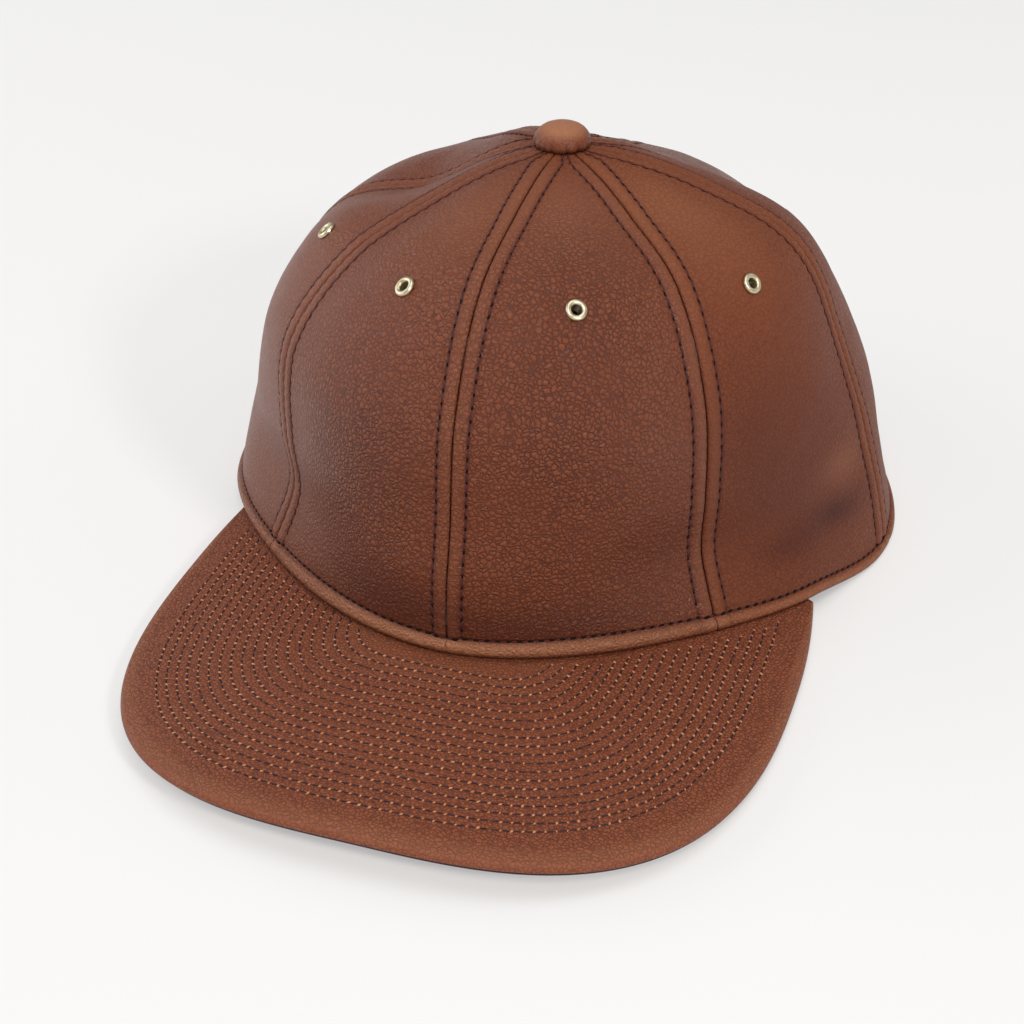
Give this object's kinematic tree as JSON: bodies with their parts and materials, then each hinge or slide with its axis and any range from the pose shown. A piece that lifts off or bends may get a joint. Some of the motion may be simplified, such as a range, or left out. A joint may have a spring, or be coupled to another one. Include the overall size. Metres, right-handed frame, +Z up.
{
  "type": "leather ball cap",
  "caption": "Soft leather ball cap with tapering crown panels, seam bands, a rolled hem, a flat stitched brim, a covered button and metal eyelets.",
  "frame": {"origin": "on the floor, under the middle of the whole cap's box", "axes": "+Z up, -Y the way the brim points, +X to the wearer's left"},
  "size_m": [0.1854, 0.2678, 0.1122],
  "materials": {
    "crown_leather": "brown pebbled leather, satin",
    "brim_leather": "brown pebbled leather, satin",
    "under_leather": "plain dark brown leather, dull",
    "button_leather": "brown leather drawn over a button, satin",
    "pale_brass": "pale worn brass, satin"
  },
  "bodies": {
    "root": {"crown_panel_1": "crown_leather", "crown_panel_2": "crown_leather", "crown_panel_3": "crown_leather", "crown_panel_4": "crown_leather", "crown_panel_5": "crown_leather", "crown_panel_6": "crown_leather", "crown_panel_7": "crown_leather", "crown_panel_8": "crown_leather", "brim_upper": "brim_leather", "brim_under": "under_leather", "button": "button_leather", "eyelet_1": "pale_brass", "eyelet_2": "pale_brass", "eyelet_3": "pale_brass", "eyelet_4": "pale_brass", "eyelet_5": "pale_brass", "eyelet_6": "pale_brass", "eyelet_7": "pale_brass", "eyelet_8": "pale_brass"}
  },
  "joints": []
}
